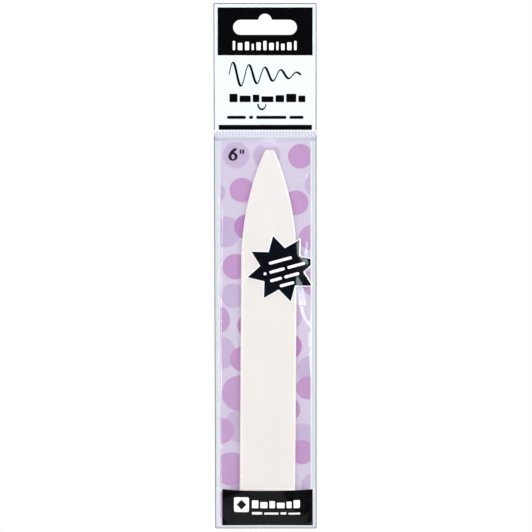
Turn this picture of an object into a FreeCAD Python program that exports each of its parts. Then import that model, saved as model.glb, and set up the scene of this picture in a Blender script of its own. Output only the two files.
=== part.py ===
"""Six-inch paper creaser (a flat folding and burnishing blade) in its hang-sell header bag.

The pack hangs upright: +Z is up, the printed front faces -Y, and +X is to the right seen from
the front. The origin is the centre of the hang slot, where the films of the header meet.
Every sub-part is drawn with its heights counted from the foot edge of the bag, and its
Placement then lowers it by slot_rise, so that the slot centre comes to the origin.
Depths are counted forward (towards -Y) from the plane where the front and back films meet.
"""
import FreeCAD, Part
import math
import os
import Sketcher

DIMENSIONS = [
    # bag outline and hang slot
    ("bag_width", 44.3), ("bag_height", 226.2), ("foot_inset", 0.8),
    ("slot_rise", 215.85), ("slot_length", 27.5), ("slot_width", 6.5),
    ("hump_radius", 2.9), ("hump_rise", 2.95), ("hump_flare", 0.6),
    # films and seams
    ("film_gauge", 0.2), ("back_gauge", 0.1), ("seam_gap", 0.1), ("seal_gauge", 0.05),
    ("print_gauge", 0.06), ("weld_left", 19.95), ("weld_right", 20.25),
    # header, above the crease that it folds along
    ("crease_rise", 171.25), ("crease_gap", 0.3), ("panel_gauge", 0.2), ("panel_inset", 0.45),
    ("block_left", 20.4), ("block_right", 20.5), ("block_foot", 203.8), ("block_top", 224.4),
    ("rule_left", 19.9), ("rule_right", 20.2), ("rule_foot", 171.7), ("rule_top", 173.8),
    # ribbed weld under the crease
    ("crimp_foot", 169.2), ("crimp_depth", 0.35), ("rib_pitch", 1.36), ("rib_count", 31),
    ("rib_groove", 0.6), ("rib_depth", 0.12), ("rib_inset", 0.2),
    # bulge of the front film over the blade
    ("bulge_left", 19.8), ("bulge_right", 20.1), ("plateau_depth", 3.6), ("side_shoulder", 0.5),
    ("left_lean", 19.8), ("right_lean", 25.8), ("crest_rise", 163.4), ("bulge_top", 168.9),
    ("top_lean", 27.0),
    # foot lip, which hinges at the top of the foot band
    ("lip_rise", 17.1), ("lip_gap", 0.15), ("lip_bend", 9.0), ("lip_lean", 21.2),
    ("land_rise", 0.9),
    ("band_left", 18.4), ("band_right", 20.6), ("band_foot", 1.4), ("band_top", 16.85),
    # insert card
    ("card_left", 19.2), ("card_right", 19.6), ("card_foot", 1.4), ("card_top", 166.8),
    ("card_gauge", 0.45), ("card_rear", 0.05), ("card_round", 0.5),
    # creaser blade
    ("blade_length", 152.4), ("blade_width", 23.9), ("blade_gauge", 2.8), ("blade_rear", 0.65),
    ("taper_length", 48.0), ("taper_radius", 120.0), ("tip_corner", 1.6), ("heel_corner", 3.0),
    ("edge_round", 1.1), ("blade_foot", 10.6), ("blade_shift", 1.0), ("blade_tilt", 0.38),
    # eight-pointed label on the front film
    ("star_shift", 7.25), ("star_rise", 111.8), ("star_outer", 14.6), ("star_inner", 9.0),
    ("star_turn", 104.5), ("star_stretch", 1.045), ("star_reach", 19.75),
    ("tip_rim", 0.765), ("notch_rim", 0.54),
]
STAR_TIPS = 8
REACH = 40.0  # a tool body that is cut away reaches at least this far past the bag

doc = FreeCAD.newDocument("creaser_pack")
sheet = doc.addObject("Spreadsheet::Sheet", "Dims")
for row, (alias, value) in enumerate(DIMENSIONS, start=1):
    sheet.set(f"A{row}", alias)
    sheet.set(f"B{row}", str(value))
    sheet.setAlias(f"B{row}", alias)
doc.recompute()

XY = FreeCAD.Rotation()
XZ = FreeCAD.Rotation(FreeCAD.Vector(1, 0, 0), 90)  # sketch x is X, sketch y is Z, normal -Y
YZ = FreeCAD.Rotation(FreeCAD.Vector(1, 1, 1), 120)  # sketch x is Y, sketch y is Z, normal +X

parts = []


def size(alias):
    return float(sheet.get(alias))


def bind(thing, **expressions):
    """Bind properties of a document object to the sheet; __ in a name stands for a dot."""
    for name, expression in expressions.items():
        path = name.replace("__", ".")
        thing.setExpression("." + path if "." in path else path, expression)


def hand_over(shape_object, label):
    """Name a finished sub-part and lower it so that the slot centre is the origin."""
    shape_object.Label = label
    bind(shape_object, Placement__Base__z="-Dims.slot_rise")
    parts.append(shape_object)


def draw_polygon(sketch, corners):
    """Closed outline whose corners are pairs of expressions, each bound to the sheet.

    It starts as a regular polygon, and the bound distances then place its corners.
    """
    count = len(corners)
    turn = 2 * math.pi / count
    points = [
        FreeCAD.Vector(REACH + math.cos(i * turn), REACH + math.sin(i * turn), 0)
        for i in range(count)
    ]
    for i in range(count):
        sketch.addGeometry(Part.LineSegment(points[i], points[(i + 1) % count]), False)
    for i in range(count):
        sketch.addConstraint(Sketcher.Constraint("Coincident", i, 2, (i + 1) % count, 1))
    for i, (across, up) in enumerate(corners):
        for kind, expression, value in (
            ("DistanceX", across, points[i].x),
            ("DistanceY", up, points[i].y),
        ):
            index = sketch.addConstraint(Sketcher.Constraint(kind, -1, 1, i, 1, value))
            sketch.setExpression(f"Constraints[{index}]", expression)


def prism(name, corners, turn, start, length):
    """Polygon in a plane turned by turn, extruded along its normal from start by length."""
    sketch = doc.addObject("Sketcher::SketchObject", name + "_outline")
    sketch.Placement = FreeCAD.Placement(FreeCAD.Vector(0, 0, 0), turn)
    normal = turn.multVec(FreeCAD.Vector(0, 0, 1))
    for axis in "xyz":
        share = round(getattr(normal, axis))
        if share:
            sketch.setExpression(f".Placement.Base.{axis}", f"{share} * ({start})")
    draw_polygon(sketch, corners)
    solid = doc.addObject("Part::Extrusion", name)
    solid.Base = sketch
    solid.DirMode = "Custom"
    solid.Dir = normal
    solid.Solid = True
    bind(solid, LengthFwd=length)
    return solid


def origin_plane(body, role):
    return next(f for f in body.Origin.OriginFeatures if f.Role == role)


def boolean(kind, name, base, tool):
    result = doc.addObject(kind, name)
    result.Base = base
    result.Tool = tool
    return result


def left_edge(height):
    """The bag's left edge leans in by foot_inset towards its foot."""
    return f"(-Dims.bag_width / 2 + Dims.foot_inset * (1 - ({height}) / Dims.bag_height))"


RIGHT_EDGE = "(Dims.bag_width / 2)"


def strip(low, high, inset="0"):
    """Corners of the stretch of the bag between two heights, over its full width."""
    return [
        (f"{left_edge(low)} + {inset}", low),
        (f"{RIGHT_EDGE} - {inset}", low),
        (f"{RIGHT_EDGE} - {inset}", high),
        (f"{left_edge(high)} + {inset}", high),
    ]


def rectangle(left, right, low, high):
    return [(left, low), (right, low), (right, high), (left, high)]


def plate(name, corners, rear, gauge):
    """Flat sheet, drawn in X and Z, from depth rear forward by gauge."""
    return prism(name, corners, XZ, rear, gauge)


# ---------------------------------------------------------------- hang slot
def hang_slot():
    """Straight slot with round ends and a flared hump in the middle of its upper side."""
    body = doc.addObject("PartDesign::Body", "hang_slot")
    doc.recompute()
    sketch = body.newObject("Sketcher::SketchObject", "hang_slot_outline")
    sketch.AttachmentSupport = [(origin_plane(body, "XZ_Plane"), "")]
    sketch.MapMode = "FlatFace"
    half, end = size("slot_width") / 2, (size("slot_length") - size("slot_width")) / 2
    rise, flare, centre = size("hump_radius"), size("hump_flare"), size("hump_rise")
    foot = math.sqrt((rise + flare) ** 2 - (half + flare - centre) ** 2)
    lean = math.atan2(half + flare - centre, foot)
    out = FreeCAD.Vector(0, 0, 1)

    def arc(x, y, radius, start, stop):
        circle = Part.Circle(FreeCAD.Vector(x, y, 0), out, radius)
        return sketch.addGeometry(Part.ArcOfCircle(circle, start, stop), False)

    def line(x1, y1, x2, y2):
        a, b = FreeCAD.Vector(x1, y1, 0), FreeCAD.Vector(x2, y2, 0)
        return sketch.addGeometry(Part.LineSegment(a, b), False)

    quarter = math.pi / 2
    lower = line(-end, -half, end, -half)
    right = arc(end, 0, half, -quarter, quarter)
    upper_right = line(end, half, foot, half)
    flare_right = arc(foot, half + flare, flare, math.pi + lean, 3 * quarter)
    hump = arc(0, centre, rise, lean, math.pi - lean)
    flare_left = arc(-foot, half + flare, flare, 3 * quarter, 2 * math.pi - lean)
    upper_left = line(-foot, half, -end, half)
    left = arc(-end, 0, half, quarter, 3 * quarter)
    add = sketch.addConstraint
    for one, one_end, other, other_end in (
        (lower, 2, right, 1),
        (right, 2, upper_right, 1),
        (upper_right, 2, flare_right, 2),
        (flare_right, 1, hump, 1),
        (hump, 2, flare_left, 2),
        (flare_left, 1, upper_left, 1),
        (upper_left, 2, left, 1),
        (left, 2, lower, 1),
    ):
        add(Sketcher.Constraint("Tangent", one, one_end, other, other_end))
    add(Sketcher.Constraint("PointOnObject", right, 3, -1))
    add(Sketcher.Constraint("PointOnObject", hump, 3, -2))
    add(Sketcher.Constraint("Horizontal", lower))
    add(Sketcher.Constraint("Symmetric", left, 3, right, 3, -1, 1))
    add(Sketcher.Constraint("Equal", flare_left, flare_right))
    for kind, where, value, expression in (
        ("Radius", (right,), half, "Dims.slot_width / 2"),
        ("Radius", (hump,), rise, "Dims.hump_radius"),
        ("Radius", (flare_right,), flare, "Dims.hump_flare"),
        ("DistanceX", (-1, 1, right, 3), end, "(Dims.slot_length - Dims.slot_width) / 2"),
        ("DistanceY", (-1, 1, hump, 3), centre, "Dims.hump_rise"),
    ):
        index = add(Sketcher.Constraint(kind, *where, value))
        sketch.setExpression(f"Constraints[{index}]", expression)
    pad = body.newObject("PartDesign::Pad", "hang_slot_punch")
    pad.Profile = sketch
    pad.Midplane = True
    pad.Length = REACH / 4
    bind(body, Placement__Base__z="Dims.slot_rise")
    return body


punch = hang_slot()


def punched(name, corners, rear, gauge):
    """A ply of the header, with the hang slot punched through it."""
    ply = plate(name + "_blank", corners, rear, gauge)
    hand_over(boolean("Part::Cut", name, ply, punch), name)


# ---------------------------------------------------------------- header plies
HEADER_FOOT = "(Dims.crease_rise + Dims.crease_gap)"
HEADER_FRONT = "(Dims.panel_gauge + Dims.back_gauge)"


def header():
    outline = strip(HEADER_FOOT, "Dims.bag_height")
    punched("header_film_back", outline, "-Dims.back_gauge", "Dims.back_gauge")
    white = strip(HEADER_FOOT, "Dims.bag_height - Dims.panel_inset", "Dims.panel_inset")
    punched("header_panel", white, "0", "Dims.panel_gauge")
    punched("header_film_front", outline, "Dims.panel_gauge", "Dims.back_gauge")
    block = rectangle("-Dims.block_left", "Dims.block_right", "Dims.block_foot", "Dims.block_top")
    punched("header_black_block", block, HEADER_FRONT, "Dims.print_gauge")
    rule = rectangle("-Dims.rule_left", "Dims.rule_right", "Dims.rule_foot", "Dims.rule_top")
    hand_over(plate("header_rule", rule, HEADER_FRONT, "Dims.print_gauge"), "header_rule_bar")


# ---------------------------------------------------------------- pouch films
def bulge_section(offset, rear):
    """Cross-section (X, Y) of the bulge, its face moved out by offset, back to depth rear."""

    def shoulder(lean):
        slope = f"({lean} * 1 deg)"
        return f"-(Dims.side_shoulder + {offset} / cos{slope} - {offset} * tan{slope})"

    def crest(lean):
        run = f"(Dims.plateau_depth - Dims.side_shoulder) / tan({lean} * 1 deg)"
        return f"({run} - {offset} * tan({lean} * 0.5 deg))"

    front = f"-(Dims.plateau_depth + {offset})"
    left, right = f"-(Dims.bulge_left + {offset})", f"(Dims.bulge_right + {offset})"
    return [
        (left, f"-({rear})"),
        (left, shoulder("Dims.left_lean")),
        (f"-Dims.bulge_left + {crest('Dims.left_lean')}", front),
        (f"Dims.bulge_right - {crest('Dims.right_lean')}", front),
        (right, shoulder("Dims.right_lean")),
        (right, f"-({rear})"),
    ]


def front_profile(offset, rear):
    """Side profile (Y, Z) of the front film: flat over the blade, then sloping to the weld."""
    slope = "(Dims.top_lean * 1 deg)"
    front = f"-(Dims.plateau_depth + {offset})"
    foot = "(Dims.lip_rise + Dims.lip_gap)"
    top = f"(Dims.bulge_top + {offset})"
    crest = f"(Dims.crest_rise + {offset} * tan(Dims.top_lean * 0.5 deg))"
    drop = f"({top} - {crest}) * tan{slope}"
    return [(f"-({rear})", foot), (front, foot), (front, crest), (f"{front} + {drop}", top),
            (f"-({rear})", top)]


def lip_profile(offset, rear, floor):
    """Side profile (Y, Z) of the foot lip: flat, then sloping back to the foot weld."""
    front = f"-(Dims.plateau_depth + {offset})"
    top = "(Dims.lip_rise - Dims.lip_gap)"
    bend = f"(Dims.lip_bend - {offset} * tan(Dims.lip_lean * 0.5 deg))"
    back = f"({bend} - {floor}) * tan(Dims.lip_lean * 1 deg)"
    return [(f"-({rear})", top), (f"-({rear})", floor), (f"{front} + {back}", floor),
            (front, bend), (front, top)]


def solid_bulge(name, offset, rear, profile):
    """Solid bounded by the bulge's cross-section and by a side profile."""
    across = prism(name + "_across", bulge_section(offset, rear), XY, "-1", "Dims.bag_height")
    along = prism(name + "_along", profile, YZ, f"-{REACH}", f"{2 * REACH}")
    return boolean("Part::Common", name, across, along)


FILM_FRONT = "(Dims.seam_gap + Dims.film_gauge)"


def bulged_film(name, profile_of, margin):
    """A film with flat margins, drawn out into a hollow bulge."""
    outer = solid_bulge(name + "_outer", "Dims.film_gauge", "Dims.seam_gap", profile_of(
        "Dims.film_gauge", "Dims.seam_gap"))
    inner = solid_bulge(name + "_hollow", "0", "-1", profile_of("0", "-1"))
    flat = plate(name + "_margin", margin, "Dims.seam_gap", "Dims.film_gauge")
    whole = boolean("Part::Fuse", name + "_whole", outer, flat)
    hand_over(boolean("Part::Cut", name, whole, inner), name)


def lip_outline(offset, rear):
    """Side profile of the lip; its hollow stops above the land where the films meet."""
    floor = "0" if offset != "0" else "Dims.land_rise"
    return lip_profile(offset, rear, floor)


def pouch_films():
    outline = strip("0", "Dims.crimp_foot")
    hand_over(plate("back_film", outline, "-Dims.back_gauge", "Dims.back_gauge"), "back_film")
    seam_foot = "(Dims.lip_rise + Dims.lip_gap)"
    bulged_film("front_film", front_profile, strip(seam_foot, "Dims.crimp_foot"))
    bulged_film("foot_lip_film", lip_outline, strip("0", "Dims.lip_rise - Dims.lip_gap"))
    left = [
        (left_edge(seam_foot), seam_foot),
        ("-Dims.weld_left", seam_foot),
        ("-Dims.weld_left", "Dims.crimp_foot"),
        (left_edge("Dims.crimp_foot"), "Dims.crimp_foot"),
    ]
    right = rectangle("Dims.weld_right", RIGHT_EDGE, seam_foot, "Dims.crimp_foot")
    hand_over(plate("left_weld", left, "0", "Dims.seam_gap"), "side_weld_left")
    hand_over(plate("right_weld", right, "0", "Dims.seam_gap"), "side_weld_right")
    seal = strip("0", "Dims.land_rise")
    hand_over(plate("foot_seal", seal, "0", "Dims.seal_gauge"), "foot_seal")


def padded_body(name, corners, rear, gauge):
    """PartDesign body: an outline on the XZ plane, padded forward from depth rear."""
    body = doc.addObject("PartDesign::Body", name)
    doc.recompute()
    sketch = body.newObject("Sketcher::SketchObject", name + "_outline")
    sketch.AttachmentSupport = [(origin_plane(body, "XZ_Plane"), "")]
    sketch.MapMode = "FlatFace"
    bind(sketch, AttachmentOffset__Base__z=rear)
    draw_polygon(sketch, corners)
    pad = body.newObject("PartDesign::Pad", name + "_pad")
    pad.Profile = sketch
    bind(pad, Length=gauge)
    doc.recompute()
    return body


def edges_along_y(shape):
    """Names of the straight edges that run along Y."""
    names = []
    for number, edge in enumerate(shape.Edges, start=1):
        span = edge.Vertexes[-1].Point - edge.Vertexes[0].Point
        if abs(span.y) > 0.9 * edge.Length and isinstance(edge.Curve, Part.Line):
            names.append(f"Edge{number}")
    return names


def crimp_weld():
    """Ribbed weld strip: both films pressed together, with upright grooves along its front."""
    top = "(Dims.crease_rise - Dims.crease_gap)"
    body = padded_body("crimp_weld", strip("Dims.crimp_foot", top), "-Dims.back_gauge",
                       "Dims.crimp_depth + Dims.back_gauge")
    plain = body.Shape.Volume
    sketch = body.newObject("Sketcher::SketchObject", "crimp_groove_outline")
    sketch.AttachmentSupport = [(origin_plane(body, "XZ_Plane"), "")]
    sketch.MapMode = "FlatFace"
    bind(sketch, AttachmentOffset__Base__z="Dims.crimp_depth - Dims.rib_depth")
    first = "-Dims.rib_pitch * (Dims.rib_count - 1) / 2"
    draw_polygon(sketch, rectangle(
        f"{first} - Dims.rib_groove / 2", f"{first} + Dims.rib_groove / 2",
        "Dims.crimp_foot + Dims.rib_inset", f"{top} - Dims.rib_inset"))
    groove = body.newObject("PartDesign::Pocket", "crimp_groove")
    groove.Profile = sketch
    groove.Reversed = True
    bind(groove, Length="Dims.rib_depth * 2")
    doc.recompute()
    row_of_ribs = body.newObject("PartDesign::LinearPattern", "crimp_grooves")
    row_of_ribs.Originals = [groove]
    row_of_ribs.Direction = (origin_plane(body, "X_Axis"), [""])
    bind(row_of_ribs, Length="Dims.rib_pitch * (Dims.rib_count - 1)", Occurrences="Dims.rib_count")
    body.Tip = row_of_ribs
    doc.recompute()
    assert body.Shape.Volume < plain, "the crimp's grooves cut nothing"
    hand_over(body, "crimp_weld")


def insert_card():
    """Printed card behind the blade, held between the side welds."""
    outline = rectangle("-Dims.card_left", "Dims.card_right", "Dims.card_foot", "Dims.card_top")
    body = padded_body("insert_card", outline, "Dims.card_rear", "Dims.card_gauge")
    pad = body.Tip
    rounding = body.newObject("PartDesign::Fillet", "card_corners")
    rounding.Base = (pad, edges_along_y(pad.Shape))
    bind(rounding, Radius="Dims.card_round")
    body.Tip = rounding
    hand_over(body, "insert_card")


# ---------------------------------------------------------------- creaser blade
def blade_outline(sketch):
    """Half ogive on each side, a blunt tip at the top and a square heel at y = 0."""
    half, length = size("blade_width") / 2, size("blade_length")
    side_radius, corner = size("taper_radius"), size("tip_corner")
    shoulder = length - size("taper_length")
    side_centre = half - side_radius
    tip_centre = length - corner
    reach = math.sqrt((side_radius - corner) ** 2 - (tip_centre - shoulder) ** 2)
    flat = side_centre + reach
    lean = math.atan2(tip_centre - shoulder, flat - side_centre)
    out = FreeCAD.Vector(0, 0, 1)

    def arc(x, y, radius, start, stop):
        circle = Part.Circle(FreeCAD.Vector(x, y, 0), out, radius)
        return sketch.addGeometry(Part.ArcOfCircle(circle, start, stop), False)

    def line(x1, y1, x2, y2):
        a, b = FreeCAD.Vector(x1, y1, 0), FreeCAD.Vector(x2, y2, 0)
        return sketch.addGeometry(Part.LineSegment(a, b), False)

    heel = line(-half, 0, half, 0)
    right = line(half, 0, half, shoulder)
    right_taper = arc(side_centre, shoulder, side_radius, 0, lean)
    right_tip = arc(flat, tip_centre, corner, lean, math.pi / 2)
    tip = line(flat, length, -flat, length)
    left_tip = arc(-flat, tip_centre, corner, math.pi / 2, math.pi - lean)
    left_taper = arc(-side_centre, shoulder, side_radius, math.pi - lean, math.pi)
    left = line(-half, shoulder, -half, 0)
    add = sketch.addConstraint
    add(Sketcher.Constraint("Coincident", heel, 2, right, 1))
    add(Sketcher.Constraint("Coincident", left, 2, heel, 1))
    for one, one_end, other, other_end in (
        (right, 2, right_taper, 1),
        (right_taper, 2, right_tip, 1),
        (right_tip, 2, tip, 1),
        (tip, 2, left_tip, 1),
        (left_tip, 2, left_taper, 1),
        (left_taper, 2, left, 1),
    ):
        add(Sketcher.Constraint("Tangent", one, one_end, other, other_end))
    add(Sketcher.Constraint("PointOnObject", heel, 1, -1))
    add(Sketcher.Constraint("Symmetric", heel, 1, heel, 2, -2))
    add(Sketcher.Constraint("Vertical", right))
    add(Sketcher.Constraint("Vertical", left))
    add(Sketcher.Constraint("Symmetric", tip, 1, tip, 2, -2))
    add(Sketcher.Constraint("Equal", right_taper, left_taper))
    for kind, where, value, expression in (
        ("DistanceX", (heel, 1, heel, 2), 2 * half, "Dims.blade_width"),
        ("DistanceY", (-1, 1, tip, 1), length, "Dims.blade_length"),
        ("DistanceY", (-1, 1, right, 2), shoulder, "Dims.blade_length - Dims.taper_length"),
        ("Radius", (right_taper,), side_radius, "Dims.taper_radius"),
        ("Radius", (right_tip,), corner, "Dims.tip_corner"),
        ("Radius", (left_tip,), corner, "Dims.tip_corner"),
    ):
        index = add(Sketcher.Constraint(kind, *where, value))
        sketch.setExpression(f"Constraints[{index}]", expression)


def creaser_blade():
    """Flat blade with rounded edges all round, standing on its heel in front of the card."""
    body = doc.addObject("PartDesign::Body", "creaser_blade")
    doc.recompute()
    sketch = body.newObject("Sketcher::SketchObject", "blade_outline")
    sketch.AttachmentSupport = [(origin_plane(body, "XZ_Plane"), "")]
    sketch.MapMode = "FlatFace"
    bind(sketch, AttachmentOffset__Base__z="Dims.blade_rear")
    blade_outline(sketch)
    pad = body.newObject("PartDesign::Pad", "blade_pad")
    pad.Profile = sketch
    bind(pad, Length="Dims.blade_gauge")
    doc.recompute()
    heel = []
    for number, edge in enumerate(pad.Shape.Edges, start=1):
        middle = edge.CenterOfMass
        if isinstance(edge.Curve, Part.Line) and abs(middle.z) < 0.01 and abs(middle.x) > 1:
            heel.append(f"Edge{number}")
    corners = body.newObject("PartDesign::Fillet", "heel_corners")
    corners.Base = (pad, heel)
    bind(corners, Radius="Dims.heel_corner")
    doc.recompute()
    rims = []
    for number, edge in enumerate(corners.Shape.Edges, start=1):
        depths = {round(vertex.Point.y, 3) for vertex in edge.Vertexes}
        if len(depths) == 1:
            rims.append(f"Edge{number}")
    rounding = body.newObject("PartDesign::Fillet", "blade_edges")
    rounding.Base = (corners, rims)
    bind(rounding, Radius="Dims.edge_round")
    body.Tip = rounding
    body.Placement.Rotation = FreeCAD.Rotation(FreeCAD.Vector(0, 1, 0), size("blade_tilt"))
    body.Label = "creaser_blade"
    bind(body, Placement__Base__x="Dims.blade_shift",
         Placement__Base__z="Dims.blade_foot - Dims.slot_rise")
    parts.append(body)


# ---------------------------------------------------------------- printed layers on the films
def film_skin(name, start, gauge, profile_of):
    """Layer of gauge on the outside of a bulged film, from start in front of its face."""
    near = f"(Dims.film_gauge + {start})"
    far = f"(Dims.film_gauge + {start} + {gauge})"
    outer = solid_bulge(name + "_front", far, FILM_FRONT, profile_of(far, FILM_FRONT))
    inner = solid_bulge(name + "_rear", near, "-1", profile_of(near, "-1"))
    margin_front = plate(name + "_flat", rectangle(
        f"-{REACH}", f"{REACH}", "0", "Dims.crimp_foot"), f"{FILM_FRONT} + {start}", gauge)
    whole = boolean("Part::Fuse", name + "_layer", outer, margin_front)
    return boolean("Part::Cut", name + "_skin", whole, inner)


def star_corners(rim):
    """Star outline; with rim at 1 its tips and notches move out by the width of the rim."""
    corners = []
    for i in range(2 * STAR_TIPS):
        radius = "Dims.star_outer" if i % 2 == 0 else "Dims.star_inner"
        grow = f"{rim} * Dims.tip_rim" if i % 2 == 0 else f"{rim} * Dims.notch_rim"
        turn = f"((Dims.star_turn + {i * 180 / STAR_TIPS}) * 1 deg)"
        corners.append((
            f"Dims.star_shift + Dims.star_stretch * ({radius} + {grow}) * cos{turn}",
            f"Dims.star_rise + ({radius} + {grow}) * sin{turn}",
        ))
    return corners


def starburst():
    """White-rimmed black star on the front film; its right tip is cut off short of the weld."""
    for label, rim, start in (
        ("starburst_rim", 1, "0"),
        ("starburst_label", 0, "Dims.print_gauge"),
    ):
        skin = film_skin(label, start, "Dims.print_gauge", front_profile)
        star = prism(label + "_star", star_corners(rim), XZ, "0", f"{REACH}")
        reach = f"Dims.star_reach + {rim} * Dims.notch_rim"
        within = plate(label + "_within", rectangle(
            f"-({reach})", reach, "0", "Dims.crimp_foot"), "0", f"{REACH}")
        shape = boolean("Part::Common", label + "_cut", star, within)
        hand_over(boolean("Part::Common", label, skin, shape), label)


def foot_band():
    """Black band printed on the foot lip."""
    skin = film_skin("foot_band", "0", "Dims.print_gauge", lip_outline)
    reach = plate("foot_band_reach", rectangle(
        "-Dims.band_left", "Dims.band_right", "Dims.band_foot", "Dims.band_top"), "0", f"{REACH}")
    hand_over(boolean("Part::Common", "foot_band", skin, reach), "foot_band")


header()
pouch_films()
crimp_weld()
insert_card()
creaser_blade()
starburst()
foot_band()
doc.recompute()

for thing in doc.Objects:
    if {"Invalid", "Error"} & set(thing.State):
        raise RuntimeError(f"{thing.Name} failed: {thing.State}")
os.makedirs("parts", exist_ok=True)
for part in parts:
    if part.Shape.isNull() or not part.Shape.isValid():
        raise RuntimeError(f"{part.Label} has no valid shape")
    if not part.Shape.Solids:
        raise RuntimeError(f"{part.Label} has no solid")
    part.Shape.exportStep(f"parts/{part.Label}.step")
    box = part.Shape.BoundBox
    print(f"{part.Label}: {len(part.Shape.Solids)} solid, {part.Shape.Volume:.2f} mm3, "
          f"x {box.XMin:.2f} {box.XMax:.2f} y {box.YMin:.2f} {box.YMax:.2f} "
          f"z {box.ZMin:.2f} {box.ZMax:.2f}")
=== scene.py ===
"""Looks of the paper creaser in its clear header bag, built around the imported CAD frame.

Helper functions count in millimetres: x to the right, rise up from the bag's foot edge, and depth
forward from the plane where the two films meet. spot() turns these into metres in the CAD frame.
"""
import math

import bmesh
import bpy
import numpy as np
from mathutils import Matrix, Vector, noise


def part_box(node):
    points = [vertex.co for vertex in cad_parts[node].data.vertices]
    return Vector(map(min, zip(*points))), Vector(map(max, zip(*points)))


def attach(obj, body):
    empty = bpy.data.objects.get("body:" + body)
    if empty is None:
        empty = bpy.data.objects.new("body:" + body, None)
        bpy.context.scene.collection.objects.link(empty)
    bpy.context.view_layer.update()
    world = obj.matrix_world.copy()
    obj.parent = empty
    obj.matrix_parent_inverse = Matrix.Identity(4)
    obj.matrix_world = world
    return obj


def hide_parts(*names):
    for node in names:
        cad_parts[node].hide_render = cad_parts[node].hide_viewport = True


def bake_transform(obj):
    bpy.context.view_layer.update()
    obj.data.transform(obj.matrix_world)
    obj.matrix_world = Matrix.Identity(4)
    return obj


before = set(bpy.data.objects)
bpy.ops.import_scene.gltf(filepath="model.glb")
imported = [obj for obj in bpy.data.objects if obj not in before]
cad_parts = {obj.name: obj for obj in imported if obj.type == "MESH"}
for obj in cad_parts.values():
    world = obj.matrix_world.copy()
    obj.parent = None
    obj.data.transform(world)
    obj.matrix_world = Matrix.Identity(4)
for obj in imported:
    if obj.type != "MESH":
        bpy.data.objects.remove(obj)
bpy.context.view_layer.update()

MM = 0.001
FOOT_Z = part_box("back_film")[0].z


def cad(node):
    """A CAD node's box in millimetres: x from and to, rise from and to, depth from and to."""
    low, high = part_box(node)
    return (low.x / MM, high.x / MM, (low.z - FOOT_Z) / MM, (high.z - FOOT_Z) / MM,
            -high.y / MM, -low.y / MM)


BAG_LEFT, BAG_RIGHT, _, BAG_TOP, _, HEADER_FACE = cad("header_film_front")
BAG_FOOT_LEFT = cad("foot_seal")[0]
CARD_LEFT, CARD_RIGHT, CARD_FOOT, CARD_TOP, _, CARD_FACE = cad("insert_card")
_, _, BLADE_FOOT, BLADE_TIP, _, BLADE_FACE = cad("creaser_blade")
WELD_LEFT, WELD_RIGHT = cad("side_weld_left")[1], cad("side_weld_right")[0]
CRIMP_FOOT, CRIMP_TOP = cad("crimp_weld")[2:4]
HEADER_FOOT = cad("header_panel")[2]
PRINT_FACE = cad("header_black_block")[5]
LIP_TOP = cad("foot_lip_film")[3]
FILM_FOOT = cad("front_film")[2]
BAND_LEFT, BAND_RIGHT, BAND_FOOT = cad("foot_band")[:3]


def spot(x, rise, depth):
    """A point in millimetres, as the vector in metres that Blender wants."""
    return Vector((x * MM, -depth * MM, FOOT_Z + rise * MM))


def left_edge(rise):
    """The bag's left edge leans: x at a height, between its foot and its top."""
    return BAG_FOOT_LEFT + (BAG_LEFT - BAG_FOOT_LEFT) * rise / BAG_TOP


def srgb(red, green, blue):
    """Linear colour from the 0 to 255 values of a screen colour."""
    def channel(value):
        value /= 255
        return value / 12.92 if value <= 0.04045 else ((value + 0.055) / 1.055) ** 2.4
    return (channel(red), channel(green), channel(blue), 1.0)


# ---------------------------------------------------------------- shader nodes
def new_material(name):
    """A material with no nodes yet, and its node tree."""
    material = bpy.data.materials.new(name)
    material.use_nodes = True
    material.node_tree.nodes.clear()
    return material, material.node_tree


def feed(tree, socket, value):
    """Set an input to a plain value, or link it when the value is another node's output."""
    if isinstance(value, bpy.types.NodeSocket):
        tree.links.new(value, socket)
    else:
        socket.default_value = value


def add(tree, kind, **values):
    """A new shader node with its named inputs fed; an underscore in a name stands for a space."""
    node = tree.nodes.new("ShaderNode" + kind)
    for name, value in values.items():
        feed(tree, node.inputs[name.replace("_", " ")], value)
    return node


def calculated(tree, operation, *values):
    """The result of a Math node on one, two or three values."""
    node = add(tree, "Math")
    node.operation = operation
    for socket, value in zip(node.inputs, values):
        feed(tree, socket, value)
    return node.outputs["Value"]


def mixed(tree, factor, first, second):
    """Colour that runs from first to second by a factor."""
    blend = add(tree, "Mix")
    blend.data_type = "RGBA"
    for name, value in (("Factor", factor), ("A", first), ("B", second)):
        feed(tree, blend.inputs[name], value)
    return blend.outputs["Result"]


def shader_mix(tree, factor, first, second):
    """Shader that runs from the first node's to the second node's by a factor."""
    mix = add(tree, "MixShader", Fac=factor)
    for socket, node in zip((mix.inputs[1], mix.inputs[2]), (first, second)):
        feed(tree, socket, node.outputs[0])
    return mix.outputs["Shader"]


def ramp(tree, value, start, stop, low, high):
    """Straight ramp from low at start to high at stop, level beyond."""
    return add(tree, "MapRange", Value=value, From_Min=start, From_Max=stop, To_Min=low,
               To_Max=high).outputs["Result"]


def spread(tree, value, low, high):
    """The middle of a noise, stretched to run from low to high."""
    return ramp(tree, value, 0.3, 0.7, low, high)


def coordinate(tree, kind, axis):
    """One axis of a texture coordinate."""
    place = add(tree, "TexCoord")
    return add(tree, "SeparateXYZ", Vector=place.outputs[kind]).outputs[axis]


def noise_node(tree, scale, detail=3.0, stretch=(1, 1, 1)):
    """Noise over the object's own coordinates, in cycles per metre."""
    place = add(tree, "TexCoord")
    turn = add(tree, "Mapping", Vector=place.outputs["Object"], Scale=stretch)
    return add(tree, "TexNoise", Vector=turn.outputs["Vector"], Scale=scale,
               Detail=detail).outputs["Fac"]


def bumped(tree, height, distance, strength):
    """Surface normal roughened by a height; distance is in metres."""
    return add(tree, "Bump", Height=height, Distance=distance,
               Strength=strength).outputs["Normal"]


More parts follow.
